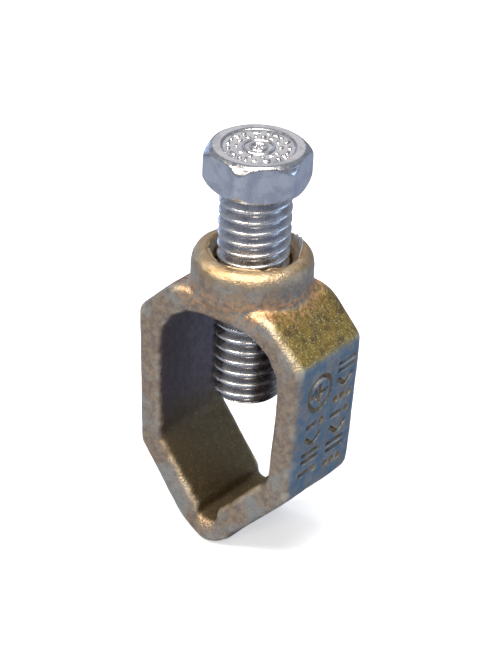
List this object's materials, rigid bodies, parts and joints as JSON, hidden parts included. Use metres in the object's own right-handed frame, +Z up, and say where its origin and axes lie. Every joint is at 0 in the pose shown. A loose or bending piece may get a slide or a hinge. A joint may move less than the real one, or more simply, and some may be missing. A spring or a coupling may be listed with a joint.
{
  "type": "ground rod clamp",
  "caption": "Cast bronze ground rod clamp: five-sided loop with a V bottom and wire groove, and a hex-head bolt screwing down through a round boss onto the rod.",
  "frame": {"origin": "on the bolt's axis, level with the underside of the nose", "axes": "+Z up along the bolt, +Y through the loop's opening along the ground rod, +X across the loop"},
  "size_m": [0.0266, 0.0162, 0.0566],
  "materials": {
    "cast_bronze": "as-cast bronze, tarnished tan and brown with worn edges",
    "plated_steel": "bright rolled-thread steel"
  },
  "bodies": {
    "clamp_body": {"clamp_body": "cast_bronze"},
    "hex_bolt": {"hex_bolt": "plated_steel"}
  },
  "joints": [
    {"name": "bolt_advance", "type": "slide", "parent": "clamp_body", "child": "hex_bolt", "axis": [0, 0, 1], "range_m": [-0.00794, 0.0127]}
  ]
}
